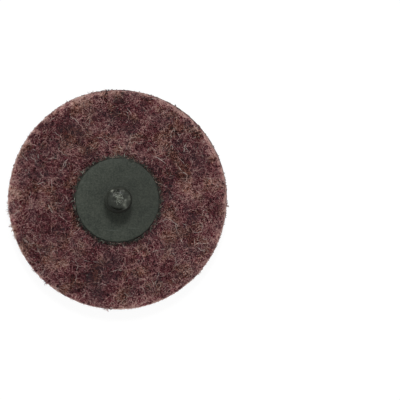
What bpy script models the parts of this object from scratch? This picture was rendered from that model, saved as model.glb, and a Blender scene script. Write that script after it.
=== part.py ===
"""A quick-change surface conditioning disc, 51 mm across.

The disc is two pieces. The pad is a die-cut round of needled nylon web, bonded with resin and grit:
its abrasive face lies on the ground plane and its back looks up. A moulded nylon button is spin-welded
into a shallow seat in the middle of the back. Its flange spreads the load, and its stub post carries a
coarse thread of two starts, which twists into a backing pad on an angle grinder.

Lengths are in metres, +Z is up, and the origin is the middle of the abrasive face.
"""

import math

import bmesh
import bpy
import numpy as np
from mathutils import Vector, noise

# Pad
DISC_DIAMETER = 0.0508
PAD_THICKNESS = 0.0055
FACE_EDGE_RADIUS = 0.0005
BACK_EDGE_RADIUS = 0.0009
WALL_TAPER = 0.0003  # the die enters at the back, so the back is cut this much smaller in radius
RIM_WAVER = 0.00012  # how far the cut edge wanders in and out
RIM_PACE = 2.6  # how quickly it wanders round the rim
LOFT_WAVER = 0.00014  # how far the needled back rises and falls
LOFT_SPACING = 0.0042  # from one tuft of the back to the next
SEAT_DEPTH = 0.0006  # how far the weld has pressed the back down
SEAT_SLOPE = 0.0014  # width of the slope round the seat

# Button
FLANGE_DIAMETER = 0.0192
FLANGE_THICKNESS = 0.0012
FLANGE_EDGE_RADIUS = 0.00025
FLASH_WIDTH = 0.00038  # melted nylon squeezed out round the flange
FLASH_HEIGHT = 0.0007
FLASH_RAGGEDNESS = 0.45  # share of its width that the flash swells and shrinks by
FLASH_PACE = 7.0  # how quickly it does so round the flange
WELD_GAP = 0.0003  # bond line between the button and the web
POST_HEIGHT = 0.0066
FILLET_MARGIN = 0.0001  # the post's fillet ends this far outside the crests, so the holder seats flat
NECK_LENGTH = 0.0002  # plain length between the fillet and the thread
THREAD_DIAMETER = 0.0063
THREAD_DEPTH = 0.00075
THREAD_STARTS = 2
THREAD_LEAD = 0.0050
THREAD_RUN_OUT = 0.0007
GROOVE_FLOOR = 0.16  # share of the pitch that is flat at the bottom of a groove
FLANK_SHARE = 0.5  # share of the pitch that the two flanks take
THREAD_TURN = math.radians(100)  # where a groove opens on the tip
TIP_DIAMETER = 0.0050
TIP_CHAMFER = 0.0017  # height of the lead-in cone
GATE_DIAMETER = 0.0014  # scar of the moulding gate, in the middle of the tip
GATE_HEIGHT = 0.00014

# Fineness of the facets
PAD_SEGMENTS = 108
BUTTON_SEGMENTS = 72
BACK_RINGS = 12
THREAD_RINGS = 20
CONE_RINGS = 9
ARC_STEPS = 4
INNER_RING = 0.7  # share of a flat round's radius where a ring of points splits it
MERGE_DISTANCE = 1e-7

# Places that follow from the sizes
PAD_RADIUS = DISC_DIAMETER / 2
FLANGE_RADIUS = FLANGE_DIAMETER / 2
FLASH_REACH = FLANGE_RADIUS + FLASH_WIDTH * (1 + FLASH_RAGGEDNESS)
SEAT_RADIUS = FLASH_REACH + WELD_GAP
SEAT_LEVEL = PAD_THICKNESS - SEAT_DEPTH
FLANGE_BOTTOM = SEAT_LEVEL + WELD_GAP
FLANGE_TOP = FLANGE_BOTTOM + FLANGE_THICKNESS
TIP_LEVEL = FLANGE_TOP + POST_HEIGHT
ROOT_RADIUS = THREAD_DIAMETER / 2 - THREAD_DEPTH
THREAD_PITCH = THREAD_LEAD / THREAD_STARTS
POST_FILLET = THREAD_DEPTH + FILLET_MARGIN
THREAD_FOOT = FLANGE_TOP + POST_FILLET + NECK_LENGTH

# Colours, roughness
WEB_COLOUR = (0.088, 0.040, 0.041, 1.0)
BUTTON_COLOUR = (0.047, 0.054, 0.044, 1.0)
WEB_ROUGHNESS = 0.95
BUTTON_ROUGHNESS = 0.5


def clear_scene():
    for obj in list(bpy.data.objects):
        bpy.data.objects.remove(obj)


def material(name, colour, roughness):
    made = bpy.data.materials.new(name)
    made.use_nodes = True
    shader = made.node_tree.nodes["Principled BSDF"]
    shader.inputs["Base Color"].default_value = colour
    shader.inputs["Roughness"].default_value = roughness
    shader.inputs["Metallic"].default_value = 0.0
    return made


def ease(t):
    """0 up to t = 0 and 1 from t = 1, with a smooth S between."""
    t = min(max(t, 0.0), 1.0)
    return t * t * (3 - 2 * t)


def arc(centre_r, centre_z, radius, start_deg, end_deg):
    """Points of a section's round corner, from one angle to the other."""
    angles = np.radians(np.linspace(start_deg, end_deg, ARC_STEPS + 1))
    return [(centre_r + radius * math.cos(a), centre_z + radius * math.sin(a)) for a in angles]


def turned(name, section, segments, finish, moved):
    """A solid of revolution. The section runs from the axis at the bottom to the axis at the top,
    is spun once round +Z, and then each point goes where moved(point) says."""
    mesh = bpy.data.meshes.new(name)
    bm = bmesh.new()
    points = [bm.verts.new((r, 0.0, z)) for r, z in section]
    edges = [bm.edges.new(pair) for pair in zip(points, points[1:])]
    bmesh.ops.spin(
        bm, geom=points + edges, axis=(0, 0, 1), cent=(0, 0, 0),
        angle=math.tau, steps=segments, use_merge=True,
    )
    bmesh.ops.remove_doubles(bm, verts=bm.verts, dist=MERGE_DISTANCE)
    for vert in bm.verts:
        vert.co = moved(vert.co)
    bmesh.ops.recalc_face_normals(bm, faces=bm.faces)
    bm.to_mesh(mesh)
    bm.free()
    mesh.materials.append(finish)
    mesh.shade_smooth()
    mesh.set_sharp_from_angle(angle=math.radians(40))
    obj = bpy.data.objects.new(name, mesh)
    bpy.context.collection.objects.link(obj)
    return obj


def polar(point):
    return math.hypot(point.x, point.y), math.atan2(point.y, point.x)


def at(r, angle, z):
    return Vector((r * math.cos(angle), r * math.sin(angle), z))


# Pad

def pad_section():
    """Flat abrasive face, round lower edge, tapered cut wall, softer upper edge, back and seat."""
    back_radius = PAD_RADIUS - WALL_TAPER
    slope_radius = SEAT_RADIUS + SEAT_SLOPE
    face = [(0.0, 0.0), (PAD_RADIUS / 2, 0.0)]
    face_edge = arc(PAD_RADIUS - FACE_EDGE_RADIUS, FACE_EDGE_RADIUS, FACE_EDGE_RADIUS, -90, 0)
    wall = [((PAD_RADIUS + back_radius) / 2, PAD_THICKNESS / 2)]
    back_edge = arc(
        back_radius - BACK_EDGE_RADIUS, PAD_THICKNESS - BACK_EDGE_RADIUS, BACK_EDGE_RADIUS, 0, 90
    )
    back = [
        (r, PAD_THICKNESS)
        for r in np.linspace(back_radius - BACK_EDGE_RADIUS, slope_radius, BACK_RINGS)[1:-1]
    ]
    slope = [
        (SEAT_RADIUS + SEAT_SLOPE * t, SEAT_LEVEL + SEAT_DEPTH * ease(t))
        for t in np.linspace(1, 0, ARC_STEPS + 1)
    ]
    seat = [(SEAT_RADIUS / 2, SEAT_LEVEL), (0.0, SEAT_LEVEL)]
    return face + face_edge + wall + back_edge + back + slope + seat


def pad_point(point):
    """The cut edge wanders a little, and the back rises in low tufts between the seat and the rim."""
    r, angle = polar(point)
    ring = Vector((math.cos(angle), math.sin(angle), 0.0))
    rim_share = ease((r - SEAT_RADIUS - SEAT_SLOPE) / (PAD_RADIUS - SEAT_RADIUS - SEAT_SLOPE))
    level = Vector((0.0, 0.0, point.z / PAD_THICKNESS))
    wander = RIM_WAVER * noise.fractal(ring * RIM_PACE + level, 1.0, 2.0, 2)
    tufts = noise.fractal(Vector((point.x, point.y, 0.0)) / LOFT_SPACING, 0.8, 2.0, 2)
    off_seat = ease((r - SEAT_RADIUS) / SEAT_SLOPE)
    height_share = ease((point.z - PAD_THICKNESS / 2) / (PAD_THICKNESS / 2))
    rise = LOFT_WAVER * tufts * off_seat * height_share
    return at(r + wander * rim_share, angle, point.z + rise)


# Button

def button_section():
    """Flange with its weld flash, fillet, neck, thread length, lead-in cone, tip and gate scar."""
    edge = FLANGE_EDGE_RADIUS
    flash_mid = FLANGE_BOTTOM + FLASH_HEIGHT / 2
    underside = [(0.0, FLANGE_BOTTOM), (FLANGE_RADIUS / 2, FLANGE_BOTTOM)]
    flash = [
        (FLANGE_RADIUS + FLASH_WIDTH * math.cos(a), flash_mid + FLASH_HEIGHT / 2 * math.sin(a))
        for a in np.linspace(-math.pi / 2, math.pi / 2, ARC_STEPS + 3)
    ]
    flange_edge = arc(FLANGE_RADIUS - edge, FLANGE_TOP - edge, edge, 0, 90)
    top = [(r, FLANGE_TOP) for r in (FLANGE_RADIUS * INNER_RING, ROOT_RADIUS + POST_FILLET * 2)]
    fillet = arc(ROOT_RADIUS + POST_FILLET, FLANGE_TOP + POST_FILLET, POST_FILLET, 270, 180)
    cone_foot = TIP_LEVEL - TIP_CHAMFER
    thread = [(ROOT_RADIUS, z) for z in np.linspace(THREAD_FOOT, cone_foot, THREAD_RINGS)]
    cone = [(ROOT_RADIUS, z) for z in np.linspace(cone_foot, TIP_LEVEL, CONE_RINGS + 1)[1:]]
    gate = GATE_DIAMETER / 2
    tip = [(ROOT_RADIUS * INNER_RING, TIP_LEVEL), (gate, TIP_LEVEL)]
    scar = [(gate * INNER_RING, TIP_LEVEL + GATE_HEIGHT), (0.0, TIP_LEVEL + GATE_HEIGHT)]
    return underside + flash + flange_edge + top + fillet + thread + cone + tip + scar


def thread_ridge(angle, z):
    """1 on a crest of the thread and 0 in a groove: crests climb one lead in a turn, anticlockwise."""
    turn = (angle - THREAD_TURN) / math.tau
    phase = (z - TIP_LEVEL) / THREAD_PITCH - THREAD_STARTS * turn + 0.5
    from_groove = abs(2 * (phase % 1.0) - 1)
    return ease((from_groove - GROOVE_FLOOR) / FLANK_SHARE)


def button_point(point):
    """The flash is ragged, and the post's skin rises from its root to the crests of the thread."""
    r, angle = polar(point)
    if r > FLANGE_RADIUS:
        ring = Vector((math.cos(angle), math.sin(angle), 0.0))
        lumps = noise.fractal(ring * FLASH_PACE, 0.6, 2.0, 3) * 1.6
        swell = FLASH_RAGGEDNESS * max(-1.0, min(1.0, lumps))
        return at(FLANGE_RADIUS + (r - FLANGE_RADIUS) * (1 + swell), angle, point.z)
    on_skin = abs(r - ROOT_RADIUS) < MERGE_DISTANCE * 10 and point.z > FLANGE_TOP + POST_FILLET
    if not on_skin:
        return point.copy()
    run_out = ease((point.z - THREAD_FOOT) / THREAD_RUN_OUT)
    skin = ROOT_RADIUS + THREAD_DEPTH * run_out * thread_ridge(angle, point.z)
    cone_slope = (THREAD_DIAMETER - TIP_DIAMETER) / 2 / TIP_CHAMFER
    cone = TIP_DIAMETER / 2 + (TIP_LEVEL - point.z) * cone_slope
    return at(min(skin, cone), angle, point.z)


def main():
    clear_scene()
    web = material("needled_web", WEB_COLOUR, WEB_ROUGHNESS)
    nylon = material("green_nylon", BUTTON_COLOUR, BUTTON_ROUGHNESS)
    turned("abrasive_pad", pad_section(), PAD_SEGMENTS, web, pad_point)
    turned("twist_button", button_section(), BUTTON_SEGMENTS, nylon, button_point)


main()
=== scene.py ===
import math

import bpy
import numpy as np
from mathutils import Matrix, Vector


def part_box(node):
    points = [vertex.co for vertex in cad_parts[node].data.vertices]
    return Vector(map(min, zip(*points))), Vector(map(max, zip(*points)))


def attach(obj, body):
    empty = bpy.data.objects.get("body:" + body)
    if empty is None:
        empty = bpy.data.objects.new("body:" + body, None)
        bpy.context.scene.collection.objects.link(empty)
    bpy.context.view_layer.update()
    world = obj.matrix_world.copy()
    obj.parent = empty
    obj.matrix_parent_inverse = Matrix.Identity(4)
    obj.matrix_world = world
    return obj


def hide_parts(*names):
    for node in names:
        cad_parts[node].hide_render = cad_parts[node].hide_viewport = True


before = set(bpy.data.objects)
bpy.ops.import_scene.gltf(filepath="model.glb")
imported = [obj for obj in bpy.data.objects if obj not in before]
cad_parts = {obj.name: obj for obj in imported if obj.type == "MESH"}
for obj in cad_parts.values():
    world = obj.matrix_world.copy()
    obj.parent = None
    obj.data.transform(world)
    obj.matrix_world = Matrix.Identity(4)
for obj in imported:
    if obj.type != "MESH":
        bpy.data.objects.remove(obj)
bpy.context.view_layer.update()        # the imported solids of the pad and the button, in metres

pad_low, pad_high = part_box("abrasive_pad")
button_low, button_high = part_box("twist_button")


# The web
# A thick felt of crimped nylon fibres, needled, bonded with maroon resin and die-cut round. Its lower face
# is soaked with brown resin and grit. This piece is the mass of the web under its loose outer fibres.

MM = 0.001
FACE_RADIUS = (pad_high.x - pad_low.x) / 2
CUT_TAPER = 0.22 * MM
BACK_RADIUS = FACE_RADIUS - CUT_TAPER
CUT_MIDDLE = (0.3 * MM, 0.18 * MM)  # where the middle of the cut lies from the button's
CUT_LEAN = (-0.23 * MM, -0.18 * MM)  # the die leaned: the back is cut this far on, and the face back
CUT_WAVER = 0.05 * MM
BACK_LEVEL = 5.5 * MM
BACK_EDGE = 0.7 * MM
FACE_GAP = 0.02 * MM  # between the lowest fibres and the ground
FACE_EDGE = 0.5 * MM
FLANGE_RADIUS = 9.6 * MM  # of the button, which is welded to the back
SEAT_RADIUS = FLANGE_RADIUS + 0.55 * MM
SEAT_SLOPE = 1.4 * MM
SEAT_DEPTH = 0.6 * MM
LOFT = 0.12 * MM
LOFT_SPACING = 4.2 * MM
CORE_DEPTH = 0.34 * MM  # the mass of the web starts this far under its outer fibres
CORE_INSET = 0.15 * MM  # and this far inside the cut
CORE_DENTS = 0.08 * MM
CORE_GRID = 101
BACK_DENT_SPACING = 1.1 * MM
FACE_DENT_SPACING = 0.9 * MM
WALL_INSET = 0.22 * MM
WALL_DENTS = 0.12 * MM
WALL_DENT_SPACING = 0.8 * MM
WALL_RINGS = 12


def ease(t):
    """S-curve from 0 to 1: 3t^2 - 2t^3, held at its ends."""
    t = np.clip(t, 0.0, 1.0)
    return t * t * (3 - 2 * t)


def lattice(x, y, spacing, seed):
    """Random heights from -1 to 1 on a square lattice, blended between the four nearest by the S-curve."""
    table = np.random.default_rng(seed).uniform(-1, 1, (256, 256))
    u, v = x / spacing + 128, y / spacing + 128
    i, j = np.floor(u).astype(int), np.floor(v).astype(int)
    s, t = ease(u - i), ease(v - j)
    i, j, after_i, after_j = i % 256, j % 256, (i + 1) % 256, (j + 1) % 256
    near = table[i, j] * (1 - s) + table[after_i, j] * s
    far = table[i, after_j] * (1 - s) + table[after_i, after_j] * s
    return near * (1 - t) + far * t


def rough(x, y, spacing, octaves, seed):
    """Lattice heights, plus half as much at half the spacing, and so on."""
    return sum(lattice(x, y, spacing / 2**k, seed + k) / 2**k for k in range(octaves))


def cut_middle(up):
    """Middle of the cut, as x and y, which moves evenly along the die's lean from the face at 0 to the back
    at 1."""
    return [middle + lean * (2 * up - 1) for middle, lean in zip(CUT_MIDDLE, CUT_LEAN)]


def web_radius(angle, z):
    """Radius of the cut at an angle and a height, from the button's middle: a straight taper from face to
    back about the cut's own middle, with a slight waver."""
    up = np.clip(z / BACK_LEVEL, 0, 1)
    right, forward = cut_middle(up)
    waver = CUT_WAVER * rough(np.cos(angle) * 3, np.sin(angle) * 3, 1.0, 3, 5)
    return FACE_RADIUS - CUT_TAPER * up + right * np.cos(angle) + forward * np.sin(angle) + waver


def edge_drop(x, y, z, edge):
    """How far a round edge has fallen away at a point: a quarter circle that ends on the cut."""
    r = np.hypot(x, y)
    past = np.clip((r - web_radius(np.arctan2(y, x), z) + edge) / edge, 0, 1)
    return edge * (1 - np.sqrt(1 - past**2))


def back_level(x, y):
    """Top of the back's fibres: flat, with low tufts, a slope down to the seat and a round rim."""
    on_seat = 1 - ease((np.hypot(x, y) - SEAT_RADIUS) / SEAT_SLOPE)
    tufts = LOFT * rough(x, y, LOFT_SPACING, 3, 11) * (1 - on_seat)
    return BACK_LEVEL - SEAT_DEPTH * on_seat + tufts - edge_drop(x, y, BACK_LEVEL, BACK_EDGE)


def face_level(x, y):
    """Lowest level of the abrasive face's fibres: flat, with a round rim."""
    return FACE_GAP + edge_drop(x, y, 0.0, FACE_EDGE)


def disc_grid(n):
    """Points of a unit disc on an n by n grid: each square ring of the grid becomes a circle, with its
    points spread evenly round it. Returns x, y and the order of the points round the rim."""
    side = np.linspace(-1, 1, n)
    u, v = np.meshgrid(side, side, indexing="ij")
    flat = np.abs(u) >= np.abs(v)
    reach = np.where(flat, u, v)
    along = np.where(flat, v, u) / np.where(reach == 0, 1, reach)
    turn = np.where(flat, along, 2 - along) * math.pi / 4
    x, y = reach * np.cos(turn), reach * np.sin(turn)
    index = np.arange(n * n).reshape(n, n)
    rim = np.concatenate([index[-1, :-1], index[:0:-1, -1], index[0, :0:-1], index[:-1, 0]])
    return x.ravel(), y.ravel(), rim


def grid_quads(n):
    """Four corners of each cell of an n by n grid, anticlockwise from above."""
    index = np.arange(n * n).reshape(n, n)
    return np.stack([index[:-1, :-1], index[1:, :-1], index[1:, 1:], index[:-1, 1:]], -1).reshape(-1, 4)


def band_quads(rings):
    """Quads between each two rings of points in a row. Rings run anticlockwise, and the quads face away
    from the axis."""
    return [np.stack([upper, lower, np.roll(lower, -1), np.roll(upper, -1)], -1)
            for upper, lower in zip(rings, rings[1:])]


def make_piece(name, places, quads, tris, corner_map, finish, slot="needled_web", node="abrasive_pad"):
    """A mesh object from arrays of points, quads, triangles and a place in the UV square for each
    corner. It rides on the root body and stands for a node of the solids."""
    corners = np.concatenate([quads.ravel(), tris.ravel()]).astype(np.int32)
    starts = np.concatenate([np.arange(len(quads)) * 4, len(quads) * 4 + np.arange(len(tris)) * 3])
    mesh = bpy.data.meshes.new(name)
    mesh.vertices.add(len(places))
    mesh.vertices.foreach_set("co", places.astype(np.float32).ravel())
    mesh.loops.add(len(corners))
    mesh.loops.foreach_set("vertex_index", corners)
    mesh.polygons.add(len(starts))
    mesh.polygons.foreach_set("loop_start", starts.astype(np.int32))
    mesh.update(calc_edges=True)
    mesh.uv_layers.new(name="OFBake").uv.foreach_set("vector", corner_map.astype(np.float32).ravel())
    mesh.shade_smooth()
    mesh.materials.append(finish)
    made = bpy.data.objects.new(name, mesh)
    bpy.context.collection.objects.link(made)
    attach(made, "root")
    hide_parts(node)
    return made


def srgb(red, green, blue):
    """A colour of 0 to 255 a channel as Blender's linear one: ((c + 0.055) / 1.055) to the power 2.4."""
    share = (np.array([red, green, blue]) / 255 + 0.055) / 1.055
    return (*share**2.4, 1.0)


def add(tree, kind, links=None, **settings):
    """A node in a tree, with its settings, and with each named input linked or given a value."""
    node = tree.nodes.new(kind)
    for setting, value in settings.items():
        setattr(node, setting, value)
    for socket, value in (links or {}).items():
        if isinstance(value, bpy.types.NodeSocket):
            tree.links.new(value, node.inputs[socket])
        else:
            node.inputs[socket].default_value = value
    return node


def work_out(tree, operation, *values):
    """One step of arithmetic on one to three values."""
    return add(tree, "ShaderNodeMath", dict(enumerate(values)), operation=operation).outputs[0]


def own_place(tree):
    """Place of a point on its piece, in metres from the disc's axis and the ground."""
    return add(tree, "ShaderNodeTexCoord").outputs["Object"]


def coordinate(tree, place, axis):
    """A place's X, Y or Z."""
    return add(tree, "ShaderNodeSeparateXYZ", {"Vector": place}).outputs[axis]


def shifted(tree, place, x, y):
    """A place moved sideways. A second noise read there doesn't follow the first."""
    return add(tree, "ShaderNodeMapping", {"Vector": place, "Location": (x, y, 0.0)}).outputs[0]


def from_line(tree, place, x, y):
    """Distance of a place from an upright line: its length sideways, once the line is moved to the axis."""
    moved = shifted(tree, place, -x, -y)
    flat = add(tree, "ShaderNodeVectorMath", {0: moved, 1: (1.0, 1.0, 0.0)}, operation="MULTIPLY").outputs[0]
    return add(tree, "ShaderNodeVectorMath", {0: flat}, operation="LENGTH").outputs["Value"]


def noise(tree, place, spacing, detail, distortion=0.0):
    """Noise whose lumps lie about a spacing apart."""
    return add(
        tree, "ShaderNodeTexNoise",
        {"Vector": place, "Scale": 1 / spacing, "Detail": detail, "Distortion": distortion},
    ).outputs["Fac"]


def spread(tree, value, low, high, low_out=0.0, high_out=1.0):
    """A value stretched from one range to another by an S-curve, and held at its ends."""
    return add(
        tree, "ShaderNodeMapRange",
        {"Value": value, "From Min": low, "From Max": high, "To Min": low_out, "To Max": high_out},
        interpolation_type="SMOOTHSTEP",
    ).outputs["Result"]


def patches(tree, place, spacing, detail, low, high, low_out=0.0, high_out=1.0):
    """Noise whose middle range is stretched, so that it falls into patches of two values with soft edges."""
    return spread(tree, noise(tree, place, spacing, detail), low, high, low_out, high_out)


def blend(tree, share, first, second):
    """Colour mix, from the first at share 0 to the second at share 1."""
    return add(tree, "ShaderNodeMix", {0: share, 6: first, 7: second}, data_type="RGBA").outputs[2]


def ramp(tree, level, stops):
    """Colours at levels from 0 to 1, blended evenly between each two."""
    node = add(tree, "ShaderNodeValToRGB", {0: level})
    points = node.color_ramp.elements
    while len(points) < len(stops):
        points.new(0.5)
    for point, (place, colour) in zip(points, stops):
        point.position, point.color = place, colour
    return node.outputs["Color"]


def level_of(tree, start, parts):
    """A level: the start, plus each part's distance from 0.5 times its weight."""
    level = start - sum(weight for value, weight in parts) / 2
    for value, weight in parts:
        level = work_out(tree, "MULTIPLY_ADD", value, weight, level)
    return level


def new_look(name):
    """A shader node group that gives the web's colour at a place, for a fibre's own tint."""
    tree = bpy.data.node_groups.new(name, "ShaderNodeTree")
    tree.interface.new_socket("Strand", in_out="INPUT", socket_type="NodeSocketFloat").default_value = 0.5
    tree.interface.new_socket("Colour", in_out="OUTPUT", socket_type="NodeSocketColor")
    strand = tree.nodes.new("NodeGroupInput").outputs["Strand"]
    return tree, strand, tree.nodes.new("NodeGroupOutput").inputs["Colour"]


FELT_RED = (
    (0.0, srgb(34, 12, 17)),
    (0.3, srgb(92, 33, 43)),
    (0.55, srgb(134, 64, 74)),
    (0.8, srgb(172, 122, 122)),
    (1.0, srgb(212, 174, 165)),
)
FELT_TAN = (
    (0.0, srgb(32, 14, 15)),
    (0.3, srgb(93, 47, 42)),
    (0.55, srgb(144, 85, 71)),
    (0.8, srgb(182, 130, 117)),
    (1.0, srgb(220, 188, 176)),
)
# Soot patches and the singeing next to the weld use this colour, with the seat's painted shade
FELT_SOOT_AND_SHADE = srgb(72, 58, 63)
BROAD_PATCH = 9.0 * MM
BLOTCH = 3.2 * MM
TUFT = 1.0 * MM
GRAIN = 0.34 * MM
PIT = 0.8 * MM
DYE_PATCH = 3.4 * MM
SOOT_PATCH = 3.2 * MM
RIM_PATCH = 1.5 * MM
RIM_BAND = 3.0 * MM
RIM_HIGHLIGHT_SHIFT = 0.25 * MM  # the rim's painted highlight is wider on the +Y side, towards the lamp
RIM_LINE = 0.8 * MM
RIM_DEPTH = 2.0 * MM  # how far down the wall the pale rim fades away
FLASH_REACH = FLANGE_RADIUS + 0.3 * MM
SEAT_SHADE = 1.5 * MM  # how far past the flash singeing, painted shade and painted light reach in the felt
SEAT_SHIFT = (0.6 * MM, -0.25 * MM)  # singeing and painted shade reach further to the lower right
WELD_LIGHT_SHIFT = (-0.8 * MM, 0.15 * MM)  # painted light round the weld reaches further to the left


def felt_group():
    """Maroon felt. Its level adds up noise at four spacings, the fibre's own tint, the pale rim, small pits
    and the paler felt round the weld, and picks the colour from deep maroon to pale. The pale rim is pale
    fibre ends at the cut with a painted highlight where the round edge faces the lamp, the pits are painted
    shade in the web's voids, and the paler felt round the weld is painted light. Tan and soot patches lie
    over it, and next to the weld it is singed and painted with the shade of the seat."""
    tree, strand, colour = new_look("maroon felt")
    place = own_place(tree)
    back_x, back_y = cut_middle(1.0)
    radius = from_line(tree, place, back_x, back_y - RIM_HIGHLIGHT_SHIFT)
    # Pale fibre ends at the cut, with a painted highlight where the rim's round edge faces the lamp
    rim = spread(tree, radius, BACK_RADIUS - RIM_BAND, BACK_RADIUS, 0.0, 0.5)
    rim_line = spread(tree, radius, BACK_RADIUS - RIM_LINE, BACK_RADIUS, 0.0, 0.65)
    uneven = patches(tree, place, RIM_PATCH, 3.0, 0.36, 0.64, 0.1, 1.0)
    height = coordinate(tree, place, "Z")
    near_top = spread(tree, height, BACK_LEVEL - RIM_DEPTH, BACK_LEVEL - BACK_EDGE, 0.15, 1.0)
    share = work_out(tree, "MULTIPLY", uneven, near_top)
    rim_paling_and_highlight = work_out(tree, "MULTIPLY_ADD", work_out(tree, "ADD", rim, rim_line), share, 0.5)
    # Painted light: the felt is paler round the weld, further out to the left
    from_weld_light = from_line(tree, place, *WELD_LIGHT_SHIFT)
    weld_light = spread(tree, from_weld_light, FLASH_REACH, FLASH_REACH + SEAT_SHADE, 0.63, 0.5)
    # Dark pits: painted shade in the voids of the web
    void_shade = patches(tree, shifted(tree, place, 0.04, 0.02), PIT, 1.0, 0.6, 0.7, 0.5, 0.1)
    level = level_of(tree, 0.5, [
        (noise(tree, place, BROAD_PATCH, 1.0), 0.95),
        (noise(tree, place, BLOTCH, 2.0), 0.66),
        (noise(tree, shifted(tree, place, 0.02, 0.07), TUFT, 2.0), 0.85),
        (noise(tree, place, GRAIN, 1.0), 2.15),
        (strand, 1.0),
        (rim_paling_and_highlight, 1.0),
        (weld_light, 1.0),
        (void_shade, 1.0),
    ])
    dye = patches(tree, shifted(tree, place, 0.05, 0.01), DYE_PATCH, 2.0, 0.48, 0.64)
    body = blend(tree, dye, ramp(tree, level, FELT_RED), ramp(tree, level, FELT_TAN))
    soot = patches(tree, shifted(tree, place, 0.03, 0.05), SOOT_PATCH, 2.0, 0.48, 0.62, 0.0, 0.44)
    # Singeing next to the weld, with painted shade of the seat's slope, further out to the lower right
    from_button = from_line(tree, place, *SEAT_SHIFT)
    singed_and_shaded = spread(tree, from_button, FLASH_REACH, FLASH_REACH + SEAT_SHADE, 0.42, 0.0)
    low_down = spread(tree, level, 0.3, 0.9, 0.85, 0.2)
    dull = work_out(tree, "MULTIPLY", work_out(tree, "MAXIMUM", soot, singed_and_shaded), low_down)
    tree.links.new(blend(tree, dull, body, FELT_SOOT_AND_SHADE), colour)
    return tree


RESIN_COLOURS = (
    (0.0, srgb(14, 7, 4)),
    (0.3, srgb(54, 36, 27)),
    (0.55, srgb(86, 64, 52)),
    (0.8, srgb(116, 95, 80)),
    (1.0, srgb(160, 142, 124)),
)
RESIN_RED = srgb(98, 46, 54)
RESIN_PATCH = 6.0 * MM
RESIN_LUMP = 1.2 * MM
RESIN_GRAIN = 0.3 * MM
RED_PATCH = 1.6 * MM
PORE = 0.42 * MM


def resin_group():
    """Brown resin and grit: noise at three spacings, the fibre's own tint, the pale rim and dark pores make
    its level, with maroon patches where the dye shows. The dark pores are painted shade in the web's voids."""
    tree, strand, colour = new_look("grit resin")
    place = own_place(tree)
    radius = from_line(tree, place, *cut_middle(0.0))
    rim = spread(tree, radius, FACE_RADIUS - FACE_EDGE, FACE_RADIUS, 0.5, 0.75)
    # Dark pores: painted shade in the voids of the web
    pore_shade = patches(tree, shifted(tree, place, 0.02, 0.06), PORE, 1.0, 0.57, 0.64, 0.5, 0.0)
    level = level_of(tree, 0.56, [
        (noise(tree, place, RESIN_PATCH, 1.0), 0.7),
        (noise(tree, shifted(tree, place, 0.01, 0.03), RESIN_LUMP, 2.0), 0.3),
        (noise(tree, place, RESIN_GRAIN, 1.0), 1.5),
        (strand, 0.5),
        (rim, 1.0),
        (pore_shade, 1.0),
    ])
    body = ramp(tree, level, RESIN_COLOURS)
    red = patches(tree, shifted(tree, place, 0.07, 0.01), RED_PATCH, 2.0, 0.48, 0.68, 0.0, 0.7)
    tree.links.new(blend(tree, red, body, blend(tree, 0.5, body, RESIN_RED)), colour)
    return tree


felt_look = felt_group()
resin_look = resin_group()

GRIT_LAYER = 1.5 * MM  # how deep the brown resin has soaked in
SOAK_FADE = 0.7 * MM
SOAK_WAVER = 0.8 * MM
SOAK_PATCH = 1.5 * MM
MAT_SPACING = 0.55 * MM
MAT_TWIST = 1.2
MAT_DEPTH = 0.1 * MM


def look_colour(tree, look, strand):
    """A look's colour for a fibre's own tint."""
    return add(tree, "ShaderNodeGroup", {"Strand": strand}, node_tree=look).outputs["Colour"]


def web_colour(tree, place, strand):
    """Resin's colour low in the web and felt's above it. Noise makes the line between them waver."""
    height = coordinate(tree, place, "Z")
    depth = work_out(tree, "MULTIPLY_ADD", noise(tree, place, SOAK_PATCH, 2.0), SOAK_WAVER, height)
    in_felt = spread(tree, depth, GRIT_LAYER, GRIT_LAYER + SOAK_FADE)
    return blend(tree, in_felt, look_colour(tree, resin_look, strand), look_colour(tree, felt_look, strand))


def new_material(name, roughness, specular):
    """A material with its shader, whose roughness and specular level are the same all over."""
    made = bpy.data.materials.new(name)
    made.use_nodes = True
    shader = made.node_tree.nodes["Principled BSDF"]
    shader.inputs["Roughness"].default_value = roughness
    shader.inputs["Specular IOR Level"].default_value = specular
    return made, made.node_tree, shader


def add_bump(tree, shader, height, strength, depth):
    """Small relief in the light on a shader, for heights of 0 to 1 that stand for a depth."""
    bump = add(tree, "ShaderNodeBump", {"Height": height, "Strength": strength, "Distance": depth})
    tree.links.new(bump.outputs["Normal"], shader.inputs["Normal"])


def web_mass_material():
    """The web as seen between its loose fibres. Matted fibres are thin pale lines, in colour and in relief,
    along which a twisted noise passes its middle value. Off the lines it takes a dark tint, painted shade
    under the loose fibres."""
    made, tree, shader = new_material("web_mass", 0.95, 0.1)
    place = own_place(tree)
    contour = noise(tree, place, MAT_SPACING, 3.0, MAT_TWIST)
    from_middle = work_out(tree, "ABSOLUTE", work_out(tree, "SUBTRACT", contour, 0.5))
    line = spread(tree, from_middle, 0.0, 0.05, 1.0, 0.0)
    # Off the matted lines the tint is dark: painted shade under the loose fibres
    strand = spread(tree, line, 0.0, 1.0, -0.1, 0.7)
    tree.links.new(web_colour(tree, place, strand), shader.inputs["Base Color"])
    add_bump(tree, shader, line, 0.6, MAT_DEPTH)
    return made


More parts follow.
